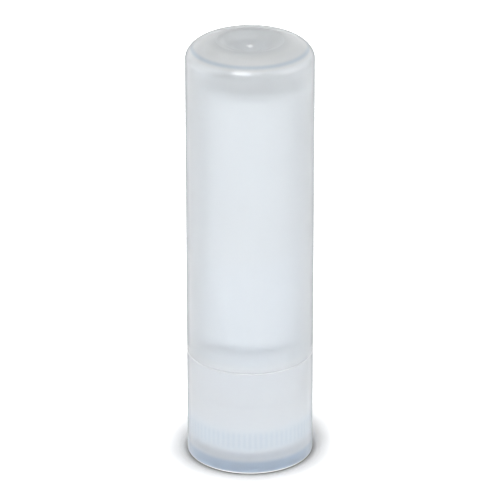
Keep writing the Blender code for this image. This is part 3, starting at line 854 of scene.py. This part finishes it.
# The mouth's two bands of painted light: this zone and the next
def on_mouth_light_band(radius, height):
    return radius > CAP_MIDDLE_OF_WALL and height < CAP_MOUTH + CAP_MOUTH_LIGHT_BAND


def on_mouth_soft_light_band(radius, height):
    return radius > CAP_MIDDLE_OF_WALL and height < CAP_MOUTH + CAP_MOUTH_SOFT_LIGHT_BAND


def on_sleeve_edge(radius, height):
    return height > SEAM_HEIGHT - BASE_TOP_ROUND


def on_foot_rim(radius, height):
    return height < FOOT_ROUND


def on_collar(radius, height):
    return COLLAR_FOOT < height < BARREL_FLOOR_TOP + WELD_DISTANCE


# Node groups that the materials share
GRAIN = moulded_grain()
HEIGHT_SHARE = height_share()
CROWN_SHADE_RINGS = painted_crown_shade_rings()

# View and light
make_camera()
make_world()
make_floor()
for lamp in LAMPS:
    make_light(*lamp)

# Finishes
cap_plastic = frosted("frosted_cap_plastic", *CAP_FINISH)
crown_plastic = frosted("frosted_crown_plastic", *CROWN_FINISH, coat=CROWN_COAT)
dish_plastic = frosted("frosted_dish_plastic", *CROWN_FINISH, coat=0.0)
# Painted highlight on the gate mark
gate_highlight_plastic = frosted("gate_painted_highlight_plastic", *GATE_HIGHLIGHT_FINISH)
# Copies of the cap's plastic that paint light on the mouth's two bands
mouth_painted_light_plastic = frosted("mouth_painted_light_plastic", *MOUTH_LIGHT_FINISH)
mouth_soft_painted_light_plastic = frosted("mouth_soft_painted_light_plastic", *MOUTH_SOFT_LIGHT_FINISH)
ceiling_plastic = frosted("frosted_ceiling_plastic", *CROWN_FINISH, coat=0.0)
barrel_plastic = frosted("frosted_barrel_plastic", *BARREL_FINISH, coat=0.0, rough=FINE_FROST)
base_plastic = frosted("frosted_base_plastic", *SLEEVE_FINISH)
collar_plastic = frosted("frosted_collar_plastic", *SLEEVE_FINISH)
# Painted light along the edges at the seam
seam_light_plastic = frosted("seam_painted_light_plastic", *SEAM_LIGHT_FINISH)
# Painted highlight along the foot's rim
rim_highlight_plastic = frosted("foot_rim_painted_highlight_plastic", *FOOT_RIM_HIGHLIGHT_FINISH, coat=BRIGHT_COAT)
screw_plastic = plastic("natural_plastic", *SCREW_FINISH, *SOLID_GRAIN)
white_plastic = plastic("white_plastic", *CARRIER_FINISH, *SOLID_GRAIN)
wax = plastic("balm_wax", *WAX_FINISH, *WAX_GRAIN)

# Painted shade on the finishes, and a tone towards the sleeve's top
# Painted shade on the band of wall in front of the knurled skirt
tone_colour(base_plastic, KNURL_PAINTED_SHADE, share_between(base_plastic, *KNURL_SHADE_HEIGHTS))
deepen(base_plastic, SLEEVE_TOP_TINT, SLEEVE_TOP_TINT_HEIGHTS)
# Painted shade on the foot's wall over the recess
deepen(base_plastic, FOOT_RECESS_PAINTED_SHADE, FOOT_RECESS_SHADE_HEIGHTS)
# Painted shade that deepens down towards the floor
deepen(base_plastic, FOOT_BOTTOM_PAINTED_SHADE, FOOT_BOTTOM_SHADE_HEIGHTS)
# Painted shade lines, one over each spline inside the base
paint_spline_shade_lines(base_plastic)
# Painted shade rings on the crown and the dish
shade_crown_rings(crown_plastic)
shade_crown_rings(dish_plastic)
# Painted shade on the balm's top
deepen(wax, WAX_TOP_PAINTED_SHADE, WAX_TOP_SHADE_HEIGHTS)
# Painted shade along the cap's and the base's walls where they are seen edge-on, in view only
paint_edge_shade_in_view(cap_plastic, CAP_EDGE_PAINTED_SHADE)
paint_edge_shade_in_view(crown_plastic, CAP_EDGE_PAINTED_SHADE)
paint_edge_shade_in_view(base_plastic, SLEEVE_EDGE_PAINTED_SHADE)

# Pieces
base = make_base()
dress(base, base_plastic, "base", "twist_base")
# Painted light on the sleeve's top edge at the seam
finish_faces(base, seam_light_plastic, on_sleeve_edge)
# Painted highlight along the foot's rim
finish_faces(base, rim_highlight_plastic, on_foot_rim)
barrel = make_barrel()
dress(barrel, barrel_plastic, "barrel", "barrel")
finish_faces(barrel, collar_plastic, on_collar)
cap = make_cap()
dress(cap, cap_plastic, "cap", "cap")
finish_faces(cap, crown_plastic, on_crown)
finish_faces(cap, dish_plastic, on_dish)
finish_faces(cap, ceiling_plastic, on_ceiling)
# Painted light on the mouth's two bands
finish_faces(cap, mouth_soft_painted_light_plastic, on_mouth_soft_light_band)
finish_faces(cap, mouth_painted_light_plastic, on_mouth_light_band)
# Painted light on the mouth's edge at the seam
finish_faces(cap, seam_light_plastic, on_mouth_edge)
# Painted highlight on the gate mark
finish_faces(cap, gate_highlight_plastic, on_gate)
dress(make_spindle(), screw_plastic, "spindle", "twist_base")
dress(make_carrier(), white_plastic, "carrier", "carrier")
dress(make_balm(), wax, "balm", "carrier")

# Plain view, and enough bounces for light to pass the frosted walls
scene = bpy.context.scene
scene.view_settings.view_transform = "Standard"
scene.cycles.max_bounces = LIGHT_BOUNCES
scene.cycles.transmission_bounces = LIGHT_BOUNCES
scene.cycles.diffuse_bounces = LIGHT_BOUNCES
scene.cycles.glossy_bounces = LIGHT_BOUNCES
scene.cycles.blur_glossy = 0.0
